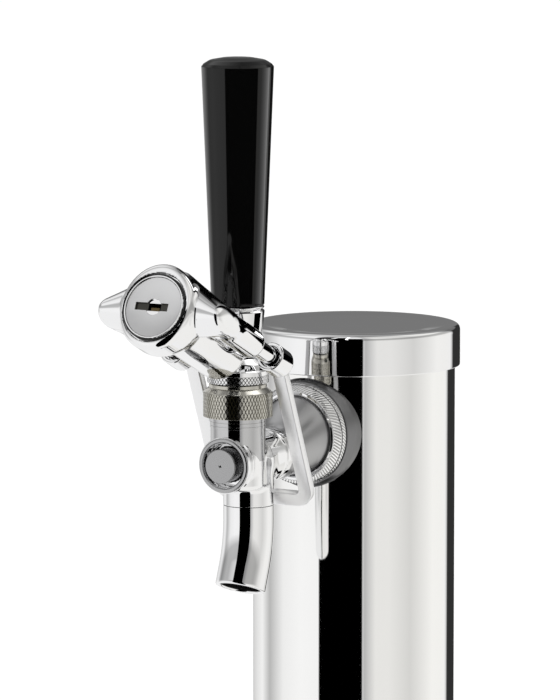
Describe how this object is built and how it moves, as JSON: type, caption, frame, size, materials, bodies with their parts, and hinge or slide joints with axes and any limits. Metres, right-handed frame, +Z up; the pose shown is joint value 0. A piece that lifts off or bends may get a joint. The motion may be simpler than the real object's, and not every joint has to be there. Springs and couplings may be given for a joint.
{
  "type": "beer tap tower",
  "caption": "Chrome draught column with a lift-off cap, a knurled lever faucet with a black handle, and a key-operated faucet lock hooked on it.",
  "frame": {"origin": "middle of the object's box at its underside, on the counter; the column's axis stands 50 mm behind it", "axes": "+Z up the column, -Y towards the person who pours (the faucet side), +X to that person's right"},
  "size_m": [0.109, 0.2092, 0.4612],
  "materials": {
    "chrome": "polished chrome plate",
    "stainless": "mirror-polished stainless steel",
    "satin_nickel": "satin nickel plate",
    "knurled_nickel": "warm nickel plate over a diamond knurl",
    "brass": "plain turned brass",
    "black_plastic": "gloss black moulded plastic",
    "rubber": "matt black rubber",
    "foam": "dark grey closed-cell insulation foam",
    "nylon": "off-white nylon"
  },
  "bodies": {
    "tower_body": {"base_gasket": "rubber", "base_flange": "chrome", "column_tube": "stainless", "insulation_sleeve": "foam", "shank_saddle": "satin_nickel", "shank_tube": "chrome", "shank_washer": "satin_nickel", "shank_nut": "brass", "tail_gasket": "rubber", "tail_elbow": "chrome", "tail_nut": "chrome", "coupling_gasket": "rubber", "coupling_nut": "chrome", "spout": "chrome", "faucet_body": "chrome", "bonnet_nut": "knurled_nickel", "ball_washer": "nylon", "shackle_post_left": "chrome", "shackle_post_right": "chrome", "shackle_eye_left": "chrome", "shackle_eye_right": "chrome", "shackle_strap": "chrome"},
    "cap": {"tower_cap": "chrome"},
    "lever_body": {"lever": "chrome", "lever_collar": "knurled_nickel", "handle_ferrule": "chrome", "tap_handle": "black_plastic"},
    "valve_body": {"valve_shaft": "chrome", "seat_washer": "rubber", "shaft_nut": "brass"},
    "lock_body": {"lock_housing": "chrome", "lock_cylinder": "chrome"},
    "key_body": {"lock_plug": "satin_nickel", "key_shutter": "brass", "lock_cam": "brass"},
    "latch_right_body": {"latch_right": "brass"},
    "latch_left_body": {"latch_left": "brass"}
  },
  "joints": [
    {"name": "lever_tilt", "type": "hinge", "parent": "tower_body", "child": "lever_body", "pos_m": [0, -0.03893, 0.3345], "axis": [1, 0, 0], "range_deg": [0, 28]},
    {"name": "valve_slide", "type": "slide", "parent": "tower_body", "child": "valve_body", "axis": [0, 1, 0], "range_m": [0, 0.0078]},
    {"name": "lock_release", "type": "slide", "parent": "tower_body", "child": "lock_body", "axis": [0, -0.9114, 0.4115], "range_m": [0, 0.1]},
    {"name": "key_turn", "type": "hinge", "parent": "lock_body", "child": "key_body", "pos_m": [0, -0.09913, 0.3769], "axis": [0, -0.9114, 0.4115], "range_deg": [0, 90]},
    {"name": "latch_right_slide", "type": "slide", "parent": "lock_body", "child": "latch_right_body", "axis": [1, 0, 0], "range_m": [0, 0.0016]},
    {"name": "latch_left_slide", "type": "slide", "parent": "lock_body", "child": "latch_left_body", "axis": [-1, 0, 0], "range_m": [0, 0.0016]},
    {"name": "cap_lift", "type": "slide", "parent": "tower_body", "child": "cap", "axis": [0, 0, 1], "range_m": [0, 0.03]}
  ],
  "couplings": [
    {"joint": "valve_slide", "follows": "lever_tilt", "m_per_rad": 0.0158},
    {"joint": "lock_release", "follows": "lever_tilt", "m_per_rad": 0.2046},
    {"joint": "latch_right_slide", "follows": "key_turn", "m_per_rad": 0.001},
    {"joint": "latch_left_slide", "follows": "key_turn", "m_per_rad": 0.001}
  ]
}
